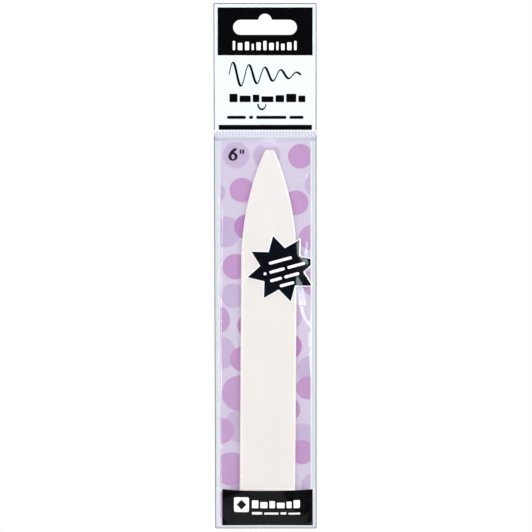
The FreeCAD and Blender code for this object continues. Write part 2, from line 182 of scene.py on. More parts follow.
# ---------------------------------------------------------------- materials
COAT_ROUGHNESS = 0.08
BUMP_DEPTH = 0.0001
RIB_PITCH = 1.36
# Painted shade in bands across the film: from, to and tint. Two lie under the crimp, where the
# film slopes back from the card's top, and one at the foot, just above its bottom edge.
PAINTED_SHADE_BANDS = [(166.85, 168.3, (0.86, 0.86, 0.93, 1.0)), (168.3, 169.4, (0.955, 0.945, 0.975, 1.0)),
         (0.35, 1.15, (0.925, 0.93, 0.955, 1.0))]


def solid_material(name, colour, shade, rough, grain, bump, specular=0.5, coat=0.0,
                   stretch=(1, 1, 1)):
    """Opaque surface: two close colours by cloudy noise, uneven roughness and fine bump."""
    material, tree = new_material(name)
    cloud = noise_node(tree, grain / 12, 4.0, stretch)
    fine = noise_node(tree, grain)
    surface = add(tree, "BsdfPrincipled", Base_Color=mixed(tree, cloud, colour, shade),
                  Roughness=spread(tree, fine, *rough),
                  Normal=bumped(tree, fine, BUMP_DEPTH, bump), Specular_IOR_Level=specular,
                  Coat_Weight=coat, Coat_Roughness=COAT_ROUGHNESS)
    add(tree, "OutputMaterial", Surface=surface.outputs["BSDF"])
    return material


def film_material(name, tint, haze, shine, rough, ripple, shade_strips=()):
    """Clear film: mostly see-through, mirroring more at grazing angles, with a slight haze.

    Its strips are bands of painted shade across it: low and high rise in millimetres, and tint."""
    material, tree = new_material(name)
    shade = mixed(tree, noise_node(tree, 90, 3.0, (1, 1, 0.35)), tint, haze)
    # Each strip darkens the film's colour between two heights: painted shade.
    for low, high, shade_tint in shade_strips:
        middle, reach = FOOT_Z + (low + high) / 2 * MM, (high - low) / 2 * MM
        in_shade_strip = calculated(tree, "COMPARE", coordinate(tree, "Object", "Z"), middle, reach)
        shade = mixed(tree, in_shade_strip, shade, shade_tint)
    through = add(tree, "BsdfTransparent", Color=shade)
    scuff = noise_node(tree, 700, 4.0)
    normal = bumped(tree, noise_node(tree, 160, 2.0, (1, 1, 0.4)), 2 * BUMP_DEPTH, ripple)
    gloss = add(tree, "BsdfPrincipled", Base_Color=(0.95, 0.96, 1.0, 1.0), Metallic=1.0,
                Roughness=spread(tree, scuff, *rough), Normal=normal)
    facing = add(tree, "LayerWeight", Blend=0.5, Normal=normal)
    steep = calculated(tree, "POWER", facing.outputs["Facing"], 5.0)
    mirror = calculated(tree, "MULTIPLY_ADD", steep, 0.6, shine)
    add(tree, "OutputMaterial", Surface=shader_mix(tree, mirror, through, gloss))
    return material


def card_material():
    """Printed board: lavender on its face, uncoated grey-white board behind and at its edges."""
    material, tree = new_material("lavender_card")
    fibre = noise_node(tree, 1500, 6.0)
    cloud = noise_node(tree, 45, 2.0)
    face = mixed(tree, cloud, srgb(219, 209, 225), srgb(214, 203, 221))
    board = mixed(tree, fibre, srgb(216, 212, 203), srgb(190, 185, 175))
    front = calculated(tree, "LESS_THAN", coordinate(tree, "Normal", "Y"), -0.5)
    surface = add(tree, "BsdfPrincipled", Base_Color=mixed(tree, front, board, face),
                  Roughness=spread(tree, fibre, 0.45, 0.62),
                  Normal=bumped(tree, fibre, 0.4 * BUMP_DEPTH, 0.4), Specular_IOR_Level=0.3)
    add(tree, "OutputMaterial", Surface=surface.outputs["BSDF"])
    return material


def crimp_material():
    """Welded strip: clear grooves between cloudy white ribs, RIB_PITCH millimetres apart, their
    contrast partly painted shade.
    """
    material, tree = new_material("crimped_weld")
    through = add(tree, "BsdfTransparent", Color=(0.90, 0.90, 0.955, 1))
    grain = noise_node(tree, 1200)
    cloudy = add(tree, "BsdfPrincipled",
                 Base_Color=mixed(tree, grain, srgb(224, 226, 236), srgb(216, 218, 230)),
                 Roughness=spread(tree, grain, 0.25, 0.4),
                 Normal=bumped(tree, grain, BUMP_DEPTH, 0.3))
    # Stripes at the rib pitch: partly the weld's own clear and cloudy film, partly painted shade
    # of the ribs' relief.
    turns = calculated(tree, "MULTIPLY", coordinate(tree, "Object", "X"),
                       math.tau / (RIB_PITCH * MM))
    rib_cloud_and_shade = ramp(tree, calculated(tree, "SINE", turns), -1, 1, 0.6, 0.8)
    add(tree, "OutputMaterial", Surface=shader_mix(tree, rib_cloud_and_shade, through, cloudy))
    return material


MATERIALS = {
    "film": film_material("clear_film", (0.996, 0.997, 0.998, 1.0), (0.978, 0.983, 0.993, 1.0),
                          0.045, (0.03, 0.09), 0.06, PAINTED_SHADE_BANDS),
    "back": film_material("back_film_clear", (0.965, 0.972, 0.99, 1.0),
                          (0.95, 0.96, 0.984, 1.0), 0.02, (0.05, 0.12), 0.1),
    "weld": film_material("weld_film", (0.99, 0.992, 0.998, 1.0), (0.97, 0.977, 0.992, 1.0),
                          0.012, (0.12, 0.25), 0.5),
    "crimp": crimp_material(),
    # The bead's dark grey is painted shade: the dark line along the clear film's cut edge.
    "edge": solid_material("film_edge", srgb(108, 117, 129), srgb(94, 104, 118), (0.2, 0.4),
                           900, 0.2),
    "white": solid_material("white_header", srgb(250, 255, 255), srgb(246, 253, 255),
                            (0.16, 0.3), 500, 0.08),
    "black": solid_material("black_ink", srgb(4, 4, 7), srgb(9, 8, 10), (0.1, 0.18),
                            600, 0.06, 0.4),
    "star_black": solid_material("star_ink", srgb(7, 9, 18), srgb(12, 14, 23), (0.06, 0.12),
                                 600, 0.05, 0.5, 1.0),
    "white_ink": solid_material("white_ink", srgb(248, 249, 251), srgb(238, 240, 244),
                                (0.25, 0.4), 800, 0.1),
    "navy": solid_material("navy_ink", srgb(10, 8, 34), srgb(16, 13, 42), (0.35, 0.5), 900, 0.1),
    "blade": solid_material("ivory_plastic", srgb(244, 238, 231), srgb(239, 232, 224),
                            (0.3, 0.46), 2400, 0.14, 0.4, 0.0, (1, 1, 0.16)),
    "card": card_material(),
}
# Inks of the card's dots, each with its slightly darker shade.
for ink, colour, shade in (("dot_pink", (200, 158, 201), (194, 151, 196)),
                           ("dot_strong", (192, 143, 196), (186, 136, 190)),
                           ("dot_light", (202, 165, 204), (196, 158, 199)),
                           ("dot_pale", (205, 186, 213), (199, 179, 208))):
    MATERIALS[ink] = solid_material(ink, srgb(*colour), srgb(*shade), (0.45, 0.6), 900, 0.15, 0.3)


# ---------------------------------------------------------------- shape of the front film
# The blade: half its width, half its tip, and the length and radius of its tapering sides.
BLADE_HALF, TIP_HALF, TAPER, TAPER_RADIUS = 11.95, 1.5, 48.0, 120.0
BLADE_AXIS_FOOT, BLADE_LEAN = 1.0, math.radians(0.38)
# Depth of the film over the blade, at the crimp and on the margins, and its least at the foot.
CROWN, CRIMP_DEPTH, MARGIN_DEPTH, FOOT_DEPTH = BLADE_FACE + 0.16, 0.3, 0.16, 0.2
TIP_GAP, CRIMP_GAP = 0.4, 0.5
LIP_BEND, LIP_SLOPE = 9.0, math.tan(math.radians(21.2))
# The blade's edges are round, the film starts down just inside them, and it clears the blade.
EDGE_ROUND, WRAP, FILM_CLEARANCE = 1.1, 0.9, 0.06
# It lies over the card, and a little closer once it is blurred and rippled.
CARD_MARGIN, OVER_CARD, ON_CARD = 0.2, 0.12, 0.08
BLUR_X, BLUR_RISE = 0.32, 0.5
LONG_WAVE, SHORT_WAVE, WAVE_FADE, WELD_MARGIN = 0.10, 0.02, 1.5, 0.3

# The grid runs a little past the pouch on every side.
STEP_X, STEP_RISE = 0.1, 0.5
GRID_X = np.arange(BAG_LEFT - 0.4, BAG_RIGHT + 0.8, STEP_X)
GRID_RISE = np.arange(-0.6, CRIMP_FOOT + 1.2, STEP_RISE)


def blade_half(rise):
    """Half the blade's width at a height: parallel sides, then an ogive to a blunt tip."""
    past = np.clip(TAPER - (BLADE_TIP - rise), 0, TAPER)
    half = BLADE_HALF - TAPER_RADIUS + np.sqrt(TAPER_RADIUS ** 2 - past ** 2)
    return np.where(rise > BLADE_TIP, TIP_HALF, half)


def blade_axis(rise):
    """x of the blade's middle line, which leans a little."""
    return BLADE_AXIS_FOOT + (rise - BLADE_FOOT) * math.tan(BLADE_LEAN)


def blade_skin(x, rise, half, axis):
    """Least depth that clears the blade's face and its rounded edges."""
    into = np.clip(np.abs(x - axis) - half + EDGE_ROUND, 0, EDGE_ROUND)
    skin = BLADE_FACE + FILM_CLEARANCE - EDGE_ROUND + np.sqrt(EDGE_ROUND ** 2 - into ** 2)
    over = (np.abs(x - axis) < half) & (rise > BLADE_FOOT - 0.2) & (rise < BLADE_TIP)
    return np.where(over, skin, 0)


def crown_depth(rise):
    """How far forward the film stands over the blade, falling to the weld above and below."""
    above = np.clip((rise - BLADE_TIP - TIP_GAP) / (CRIMP_FOOT - CRIMP_GAP - BLADE_TIP), 0, 1)
    depth = CROWN + (CRIMP_DEPTH - CROWN) * above
    below = CROWN - np.clip(LIP_BEND - rise, 0, None) * LIP_SLOPE
    return np.clip(np.minimum(depth, below), FOOT_DEPTH, None)


def blurred(field, sigma, step, axis):
    """Gaussian blur along one axis, sigma and step in millimetres."""
    reach = int(math.ceil(3 * sigma / step))
    offsets = np.arange(-reach, reach + 1)
    weights = np.exp(-0.5 * (offsets * step / sigma) ** 2)
    weights /= weights.sum()
    padding = [(0, 0), (0, 0)]
    padding[axis] = (reach, reach)
    padded = np.pad(field, padding, mode="edge")
    result = np.zeros_like(field)
    for i, weight in enumerate(weights):
        window = [slice(None), slice(None)]
        window[axis] = slice(i, i + field.shape[axis])
        result += weight * padded[tuple(window)]
    return result


# Flat flanks of the folds right of the blade: slope across, then corners (x, rise) in millimetres.
SOFT, STEEP = 0.65, 0.86
FLANKS = [
    (SOFT, [(12.3, 123.0), (15.9, 125.0), (15.7, 116.2), (13.8, 116.6)]),
    (SOFT, [(16.4, 117.4), (19.6, 116.2), (19.5, 123.6), (17.6, 124.4)]),
    (SOFT, [(14.6, 117.0), (19.6, 115.6), (19.9, 113.2), (16.6, 113.2)]),
    (SOFT, [(12.0, 110.2), (13.3, 109.8), (16.8, 104.6), (12.6, 103.4)]),
    (SOFT, [(13.6, 103.6), (16.6, 104.0), (18.6, 96.0), (14.8, 94.6)]),
    (STEEP, [(14.1, 98.0), (15.5, 98.0), (17.0, 92.2), (16.0, 91.6)]),
    (STEEP, [(16.0, 91.6), (17.0, 92.2), (19.0, 88.6), (18.3, 87.6)]),
    (STEEP, [(18.3, 87.6), (19.0, 88.6), (20.1, 86.8), (20.1, 84.8)]),
    (STEEP, [(18.7, 99.0), (19.5, 98.6), (20.2, 86.0), (19.4, 86.0)]),
    (STEEP, [(18.9, 84.8), (20.1, 84.8), (20.1, 76.0), (18.8, 78.0)]),
    (STEEP, [(19.0, 76.0), (20.1, 76.0), (20.1, 64.0), (19.5, 66.0)]),
    (STEEP, [(17.6, 153.0), (18.3, 153.0), (19.0, 150.0), (18.1, 149.6)]),
    (STEEP, [(18.8, 134.6), (19.5, 134.2), (20.1, 139.0), (19.5, 139.4)]),
]
# The foot lip stands out towards its top, and kinks let it drop past the line from start to end.
LIP_FLARE, FLARE_FROM, SEAM_REACH = 0.04, 9.0, 0.3
KINK_REACH, KINK_FROM, KINK_FADE = 5.0, 7.5, 3
KINKS = [
    (0.09, (7.4, 16.8), (11.0, 9.9)),
    (0.08, (-7.8, 17.4), (-18.4, 12.6)),
]


def inside_polygon(x, rise, corners):
    """True inside a convex outline given clockwise or anticlockwise."""
    sides = []
    for (x0, r0), (x1, r1) in zip(corners, corners[1:] + corners[:1]):
        sides.append((x1 - x0) * (rise - r0) - (r1 - r0) * (x - x0))
    sides = np.array(sides)
    return np.all(sides >= 0, axis=0) | np.all(sides <= 0, axis=0)


def right_profile(x, rise, depth, axis, half, crown):
    """Slope from the blade's edge down to the right weld, steeper on the flanks of the folds."""
    edge = axis + half
    gap = (x > edge) & (x < WELD_RIGHT)
    slope = np.zeros_like(depth)
    held = np.zeros_like(depth, dtype=bool)
    for steepness, corners in FLANKS:
        flank = inside_polygon(x, rise, corners) & gap & (x > edge + WRAP / 2)
        slope = np.where(flank, steepness, slope)
        held |= flank
    taken = (slope * STEP_X).sum(axis=0)
    free_width = ((gap & ~held) * STEP_X).sum(axis=0)
    rest = (crown[0] - MARGIN_DEPTH - taken) / np.maximum(free_width, 0.5)
    slope = np.where(gap & ~held, rest[None, :], slope)
    fallen = np.cumsum(slope * STEP_X, axis=0)
    return np.where(gap, np.maximum(crown - fallen, MARGIN_DEPTH), depth)


def film_ripple():
    """Long faint waves up the film, with smaller ones on them, in millimetres."""
    ripple = np.zeros((len(GRID_X), len(GRID_RISE)))
    for i, x in enumerate(GRID_X):
        for j, rise in enumerate(GRID_RISE):
            ripple[i, j] = (LONG_WAVE * noise.noise(Vector((x / 9, rise / 30, 3.7)))
                            + SHORT_WAVE * noise.noise(Vector((x / 3.2, rise / 9, 9.1))))
    return ripple


def lip_flare(x, rise):
    """How far the foot lip stands out towards its top, less what its kinks take off."""
    height = np.minimum(rise, LIP_TOP)
    flare = LIP_FLARE * np.clip(height - FLARE_FROM, 0, None)
    near = np.clip((rise - KINK_FROM) / KINK_FADE, 0, 1)
    for drop, (x0, r0), (x1, r1) in KINKS:
        past = ((x - x0) * (r0 - r1) + (height - r0) * (x1 - x0)) / math.hypot(x1 - x0, r1 - r0)
        sign = 1 if x1 > x0 else -1
        flare -= drop * np.clip(past * sign, 0, KINK_REACH) * near
    return flare


def film_shape():
    """Depth of the front film over the whole pouch, on the grid."""
    x, rise = np.meshgrid(GRID_X, GRID_RISE, indexing="ij")
    half, axis, crown = blade_half(rise), blade_axis(rise), crown_depth(rise)
    skin = blade_skin(x, rise, half, axis)
    half = half - WRAP
    left = np.clip((x - WELD_LEFT) / (axis - half - WELD_LEFT), 0, 1)
    right = np.clip((WELD_RIGHT - x) / (WELD_RIGHT - axis - half), 0, 1)
    span = np.minimum(left, right)
    depth = MARGIN_DEPTH + (crown - MARGIN_DEPTH) * span
    depth = right_profile(x, rise, depth, axis, half, crown)
    over_card = ((x > CARD_LEFT - CARD_MARGIN) & (x < CARD_RIGHT + CARD_MARGIN)
                 & (rise > CARD_FOOT - CARD_MARGIN) & (rise < CARD_TOP + CARD_MARGIN))
    depth = np.where(over_card, np.maximum(depth, CARD_FACE + OVER_CARD), depth)
    depth = blurred(blurred(depth, BLUR_X, STEP_X, 0), BLUR_RISE, STEP_RISE, 1)
    free = 4 * span * (1 - span)
    inside = np.clip(np.minimum(x - WELD_LEFT, WELD_RIGHT - x) / WAVE_FADE, 0, 1)
    depth += film_ripple() * (0.9 * free + 0.1) * inside
    seam = np.exp(-np.clip(rise - LIP_TOP, 0, None) / SEAM_REACH)
    depth += lip_flare(x, rise) * seam * inside
    flat = (x < WELD_LEFT - WELD_MARGIN) | (x > WELD_RIGHT + WELD_MARGIN)
    depth = np.where(flat, MARGIN_DEPTH, depth)
    depth = np.where(over_card, np.maximum(depth, CARD_FACE + ON_CARD), depth)
    return np.maximum(depth, skin)


FILM = film_shape()


def film_depth(x, rise):
    """Depth of the front film at a point, between the grid's values."""
    across = np.clip((np.asarray(x) - GRID_X[0]) / STEP_X, 0, len(GRID_X) - 1.001)
    up = np.clip((np.asarray(rise) - GRID_RISE[0]) / STEP_RISE, 0, len(GRID_RISE) - 1.001)
    i, j = across.astype(int), up.astype(int)
    a, b = across - i, up - j
    return ((1 - a) * (1 - b) * FILM[i, j] + a * (1 - b) * FILM[i + 1, j]
            + (1 - a) * b * FILM[i, j + 1] + a * b * FILM[i + 1, j + 1])


# ---------------------------------------------------------------- mesh helpers
def in_scene(name, data):
    """A new object in the scene, holding a mesh, curve, light or camera."""
    thing = bpy.data.objects.new(name, data)
    bpy.context.scene.collection.objects.link(thing)
    return thing


def piece_from(name, mesh, material, body, smooth=True):
    """Object from a mesh, with its material, riding on a body."""
    thing = in_scene(name, mesh)
    mesh.materials.clear()
    mesh.materials.append(MATERIALS[material])
    for polygon in mesh.polygons:
        polygon.use_smooth = smooth
    if body:
        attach(thing, body)
    return thing


def use_material(node, material):
    """Put a material on a CAD node that stays as it is."""
    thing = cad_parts[node]
    thing.data.materials.clear()
    thing.data.materials.append(MATERIALS[material])


def sheet_mesh(name, columns, rows, place, thickness):
    """Closed thin sheet over a grid: place(u, v) gives x, rise and depth for shares 0 to 1."""
    mesh = bpy.data.meshes.new(name)
    count_u, count_v = columns + 1, rows + 1
    points, faces = [], []
    for back in (0, 1):
        for i in range(count_u):
            for j in range(count_v):
                x, rise, depth = place(i / columns, j / rows)
                points.append(spot(x, rise, depth - back * thickness))
    layer = count_u * count_v
    for i in range(columns):
        for j in range(rows):
            a, b = i * count_v + j, (i + 1) * count_v + j
            faces.append((a, b, b + 1, a + 1))
            faces.append((layer + a + 1, layer + b + 1, layer + b, layer + a))
    rim = [i * count_v for i in range(count_u)]
    rim += [columns * count_v + j for j in range(1, count_v)]
    rim += [i * count_v + rows for i in range(columns - 1, -1, -1)]
    rim += [j for j in range(rows - 1, 0, -1)]
    for a, b in zip(rim, rim[1:] + rim[:1]):
        faces.append((a, layer + a, layer + b, b))
    mesh.from_pydata(points, [], faces)
    mesh.validate()
    return mesh


def straight_curve(name, dimensions, loops, closed):
    """A curve of straight runs through the points of each loop, which are (x, y, z)."""
    curve = bpy.data.curves.new(name, "CURVE")
    curve.dimensions = dimensions
    for loop in loops:
        spline = curve.splines.new("POLY")
        spline.points.add(len(loop) - 1)
        for point, place in zip(spline.points, loop):
            point.co = (*place, 1)
        spline.use_cyclic_u = closed
    return curve


def mesh_of(curve):
    """The mesh that a curve makes; the curve itself isn't kept."""
    holder = in_scene(curve.name, curve)
    bpy.context.view_layer.update()
    mesh = bpy.data.meshes.new_from_object(holder.evaluated_get(
        bpy.context.evaluated_depsgraph_get()))
    bpy.data.objects.remove(holder)
    bpy.data.curves.remove(curve)
    return mesh


def cut_in_squares(work, size):
    """Divide a bmesh along x and y, so that it can bend."""
    for axis in (0, 1):
        values = [vertex.co[axis] for vertex in work.verts]
        place = math.floor(min(values) / size) * size + size
        while place < max(values) - 0.02:
            point, normal = Vector((0, 0, 0)), Vector((0, 0, 0))
            point[axis], normal[axis] = place, 1
            geometry = work.verts[:] + work.edges[:] + work.faces[:]
            bmesh.ops.bisect_plane(work, geom=geometry, plane_co=point, plane_no=normal)
            place += size


def filled_mesh(name, loops, depth, thickness, cut=None, follow=None):
    """Closed flat shape from outlines in (x, rise), with holes where outlines lie inside others.

    cut divides it into squares of that size, and follow(x, rise) then bends it to a surface."""
    curve = straight_curve(name, "2D", [[(x, rise, 0) for x, rise in loop] for loop in loops],
                           True)
    curve.fill_mode = "BOTH"
    curve.extrude = thickness / 2
    mesh = mesh_of(curve)
    work = bmesh.new()
    work.from_mesh(mesh)
    bmesh.ops.remove_doubles(work, verts=work.verts, dist=0.0005)
    if cut:
        cut_in_squares(work, cut)
    for vertex in work.verts:
        x, rise, out = vertex.co
        base = float(follow(x, rise)) if follow else 0.0
        vertex.co = spot(x, rise, base + depth + thickness / 2 + out)
    bmesh.ops.recalc_face_normals(work, faces=work.faces)
    work.to_mesh(mesh)
    work.free()
    return mesh


def arc_points(x, rise, radius, start, stop, count):
    """Points along an arc; angles are in degrees, anticlockwise from +X."""
    angles = [math.radians(start + (stop - start) * i / count) for i in range(count + 1)]
    return [(x + radius * math.cos(a), rise + radius * math.sin(a)) for a in angles]


def bar(left, right, low, high, radius):
    """Outline of a rectangle with rounded corners."""
    radius = min(radius, (right - left) / 2 - 0.01, (high - low) / 2 - 0.01)
    return (arc_points(right - radius, high - radius, radius, 0, 90, 5)
            + arc_points(left + radius, high - radius, radius, 90, 180, 5)
            + arc_points(left + radius, low + radius, radius, 180, 270, 5)
            + arc_points(right - radius, low + radius, radius, 270, 360, 5))


def turned(loop, x, rise, angle):
    """An outline drawn about the origin, turned by angle in degrees and moved to a point."""
    cosine, sine = math.cos(math.radians(angle)), math.sin(math.radians(angle))
    return [(x + u * cosine - v * sine, rise + u * sine + v * cosine) for u, v in loop]


def clipped(loop, left, right, low, high):
    """An outline cut back to a rectangle."""
    for axis, limit, keep_less in ((0, left, False), (0, right, True), (1, low, False),
                                   (1, high, True)):
        result = []
        for here, after in zip(loop, loop[1:] + loop[:1]):
            inside = here[axis] <= limit if keep_less else here[axis] >= limit
            next_inside = after[axis] <= limit if keep_less else after[axis] >= limit
            if inside:
                result.append(here)
            if inside != next_inside:
                share = (limit - here[axis]) / (after[axis] - here[axis])
                result.append(tuple(h + share * (n - h) for h, n in zip(here, after)))
        loop = result
    return loop


# ---------------------------------------------------------------- header
# Gauge of each flat film and the depth of its back face.
BACK_PLY, BACK_PLY_DEPTH = 0.06, -0.1
FRONT_PLY, FRONT_PLY_DEPTH = 0.05, 0.21
BACK_FILM, BACK_FILM_DEPTH = 0.05, -0.09
SLOT_HALF, SLOT_END = 3.25, 10.5
HUMP_RADIUS, HUMP_RISE, HUMP_FLARE = 2.9, 2.95, 0.6
SLOT_RISE = -FOOT_Z / MM
# Corner radius at the bag's own corners, and where a film ends square.
CORNER, SHARP = 0.5, 0.05
BEAD_RADIUS, BEAD_INSET = 0.19, 0.1


def slot_outline():
    """The hang slot: round ends, and a flared hump in the middle of its upper side."""
    above = SLOT_HALF + HUMP_FLARE
    foot = math.sqrt((HUMP_RADIUS + HUMP_FLARE) ** 2 - (above - HUMP_RISE) ** 2)
    lean = math.degrees(math.atan2(above - HUMP_RISE, foot))
    loop = arc_points(SLOT_END, 0, SLOT_HALF, -90, 90, 18)
    loop += arc_points(foot, above, HUMP_FLARE, 270, 180 + lean, 6)
    loop += arc_points(0, HUMP_RISE, HUMP_RADIUS, lean, 180 - lean, 18)
    loop += arc_points(-foot, above, HUMP_FLARE, -lean, -90, 6)
    loop += arc_points(-SLOT_END, 0, SLOT_HALF, 90, 270, 18)
    return [(x, SLOT_RISE + y) for x, y in loop]


def bag_outline(low, high, inset, round_low, round_high):
    """The bag's outline between two heights, with rounded corners where asked."""
    right = BAG_RIGHT - inset
    low_round, high_round = (CORNER if r else SHARP for r in (round_low, round_high))
    return (arc_points(right - high_round, high - high_round, high_round, 0, 90, 6)
            + arc_points(left_edge(high) + inset + high_round, high - high_round, high_round,
                         90, 180, 6)
            + arc_points(left_edge(low) + inset + low_round, low + low_round, low_round,
                         180, 270, 6)
            + arc_points(right - low_round, low + low_round, low_round, 270, 360, 6))


def header():
    """Clear plies behind and in front of the white one, which keeps its CAD shape."""
    loops = [bag_outline(HEADER_FOOT, BAG_TOP, 0, False, True), slot_outline()]
    back = piece_from("header_back_ply",
                      filled_mesh("header_back_ply", loops, BACK_PLY_DEPTH, BACK_PLY),
                      "film", "header", False)
    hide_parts("header_film_back")
    front = piece_from("header_front_ply",
                       filled_mesh("header_front_ply", loops, FRONT_PLY_DEPTH, FRONT_PLY),
                       "film", "header", False)
    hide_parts("header_film_front")
    for node, material in (("header_panel", "white"), ("header_black_block", "black"),
                           ("header_rule_bar", "black")):
        use_material(node, material)


def edge_bead(name, path, depth, body):
    """The bag's cut edge, where the plies melt into a fine bead, its dark grey painted shade of
    the clear edge.
    """
    curve = straight_curve(name, "3D", [[spot(x, rise, depth) for x, rise in path]], False)
    curve.bevel_depth = BEAD_RADIUS * MM
    curve.bevel_resolution = 2
    curve.use_fill_caps = True
    piece_from(name, mesh_of(curve), "edge", body)


def edges():
    """A bead up and over the header, and one down and under the pouch."""
    inset, gap = BEAD_INSET, 0.3
    upper = bag_outline(HEADER_FOOT, BAG_TOP, inset, False, True)
    over = [(x, min(rise, BAG_TOP - inset)) for x, rise in upper if rise > HEADER_FOOT + gap]
    lower = bag_outline(inset, CRIMP_TOP, inset, True, False)
    under = [(x, rise) for x, rise in lower if rise < CRIMP_TOP - gap]
    right = BAG_RIGHT - inset
    edge_bead("header_edge_bead",
              [(right, HEADER_FOOT)] + over + [(left_edge(HEADER_FOOT) + inset, HEADER_FOOT)],
              0.1, "header")
    edge_bead("pouch_edge_bead",
              [(left_edge(CRIMP_TOP) + inset, CRIMP_TOP)] + under + [(right, CRIMP_TOP)],
              0.02, "pouch")


# ---------------------------------------------------------------- pouch films
FRONT_FILM, CREASE_FILM, CREASE_DEPTH = 0.04, 0.05, 0.12
FILM_COLUMNS = 148


def across_bag(u, rise):
    """x at a share u of the bag's width; only the left margin leans with the bag's edge."""
    x = BAG_LEFT + (BAG_RIGHT - BAG_LEFT) * u
    margin = max(0.0, (WELD_LEFT - x) / (WELD_LEFT - BAG_LEFT))
    return x + (left_edge(rise) - BAG_LEFT) * margin


def front_film_mesh(name, low, high, rows):
    """The part of the front film between two heights."""
    def place(u, v):
        rise = low + (high - low) * v
        x = across_bag(u, rise)
        return x, rise, float(film_depth(x, rise))

    return sheet_mesh(name, FILM_COLUMNS, rows, place, FRONT_FILM)


def front_films():
    """The pouch's front film, and the foot lip that peels up from it."""
    mesh = front_film_mesh("pouch_front_film", FILM_FOOT, CRIMP_FOOT, 300)
    film = piece_from("pouch_front_film", mesh, "film", "pouch")
    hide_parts("front_film")
    lip = piece_from("lip_film", front_film_mesh("lip_film", 0, LIP_TOP, 34), "film", "foot_lip")
    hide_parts("foot_lip_film")


def back_of_pouch():
    """The pouch's back film, with the welds as CAD made them."""
    loops = [bag_outline(0, CRIMP_FOOT, 0, True, False)]
    back = piece_from("pouch_back_film",
                      filled_mesh("pouch_back_film", loops, BACK_FILM_DEPTH, BACK_FILM),
                      "back", "pouch", False)
    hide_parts("back_film", "foot_seal")
    use_material("side_weld_left", "weld")
    use_material("side_weld_right", "weld")
    use_material("crimp_weld", "crimp")


def crease():
    """A strip of film that laps both sides of the crease under the header."""
    lap = 0.15

    def place(u, v):
        rise = CRIMP_TOP - lap + (HEADER_FOOT - CRIMP_TOP + 2 * lap) * v
        x = left_edge(rise) + lap + (BAG_RIGHT - left_edge(rise) - 2 * lap) * u
        return x, rise, CREASE_DEPTH

    strip = piece_from("crease_film", sheet_mesh("crease_film", 40, 8, place, CREASE_FILM),
                       "weld", None)
    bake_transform(strip)


# ---------------------------------------------------------------- printed card
# Dots of the card: x, rise and radius in millimetres.
DOTS = {
    "dot_pale": [(-12.5, 160.7, 5.7), (0.7, 160.5, 5.8), (-21.5, 144.7, 4.4), (23.2, 148.1, 6.0),
                 (-17.1, 127.8, 6.7), (-13.6, 100.2, 5.3), (9.6, 91.5, 6.5), (-19.6, 75.5, 7.1),
                 (19.8, 68.2, 6.2), (-10.3, 44.1, 7.3), (16.2, 39.9, 5.4), (-9.5, 16.0, 5.5),
                 (21.1, 18.1, 5.6)],
    "dot_light": [(20.2, 125.3, 5.5), (22.0, 105.7, 6.0), (-21.5, 89.8, 6.4), (-10.9, 58.2, 7.7),
                  (-18.6, 42.0, 5.4), (-14.6, 25.6, 7.2), (-21.0, 10.0, 6.0)],
    "dot_pink": [(15.2, 160.3, 5.3), (-10.0, 145.7, 5.3), (13.4, 140.3, 5.3), (-12.8, 112.7, 5.5),
                 (-9.7, 72.9, 5.4), (18.4, 60.5, 5.0), (9.9, 51.2, 5.3), (15.9, 32.8, 5.2)],
    "dot_strong": [(-8.0, 129.9, 5.3), (-6.3, 87.3, 5.6), (10.0, 78.4, 5.9)],
}
PRINT_GAUGE = 0.01
DOT_GAUGE, DOT_INSET = 0.006, 0.02


def card():
    """The card's dots, cut off at its edges and laid over each other like ink."""
    use_material("insert_card", "card")
    for layer, (tone, places) in enumerate(DOTS.items()):
        for number, (x, rise, radius) in enumerate(places, start=1):
            loop = clipped(arc_points(x, rise, radius, 0, 354, 59), CARD_LEFT + DOT_INSET,
                           CARD_RIGHT - DOT_INSET, CARD_FOOT + DOT_INSET,
                           CARD_TOP - DOT_INSET)
            # Each dot lies a little off its neighbours, so that no two faces coincide.
            depth = CARD_FACE + 0.002 + 0.004 * layer + 0.001 * (number % 3)
            name = f"{tone}_{number}"
            dot = piece_from(name, filled_mesh(name, [loop], depth, DOT_GAUGE), tone, "pouch",
                             False)


def print_piece(name, loops, depth, material, body):
    """A layer of ink on a flat face."""
    mesh = filled_mesh(name, loops, depth, PRINT_GAUGE)
    piece_from(name, mesh, material, body, False)


def oval(x, rise, half_width, half_height, count):
    """Outline of an upright oval."""
    angles = [i * math.tau / count for i in range(count)]
    return [(x + half_width * math.cos(a), rise + half_height * math.sin(a)) for a in angles]


def size_mark():
    """The numeral 6 and an inch mark, in plain round strokes."""
    depth = CARD_FACE + 0.03
    bowl = [oval(-13.8, 160.15, 2.0, 1.85, 40), oval(-13.75, 160.1, 0.7, 1.05, 30)]
    stem = [arc_points(-11.3, 159.6, 4.5, 180, 104, 14)
            + arc_points(-11.0, 159.3, 3.7, 108, 160, 14)]
    ticks = [bar(-10.9, -10.15, 161.3, 163.2, 0.2), bar(-9.75, -9.0, 161.3, 163.2, 0.2)]
    print_piece("size_numeral_bowl", bowl, depth, "navy", "pouch")
    print_piece("size_numeral_stem", stem, depth + 0.004, "navy", "pouch")
    print_piece("size_inch_ticks", ticks, depth, "navy", "pouch")


# ---------------------------------------------------------------- label and prints on the film
UNDER_PLY = 0.03
STAR_X, STAR_RISE, STAR_TURN, STAR_POINTS = 7.25, 111.8, 104.5, 8
STAR_TIP, STAR_VALLEY, STAR_STRETCH, STAR_REACH = 14.6, 9.0, 1.045, 19.75
RIM, TIP_GROWTH, VALLEY_GROWTH = 0.45, 1.7, 1.2
PRINT_CUT = 0.7
# How far a printed layer stands off the film, for the first, second and third, and its gauge.
FIRST, SECOND, THIRD = 0.01, 0.035, 0.06
LABEL_GAUGE, MARK_GAUGE = 0.02, 0.015


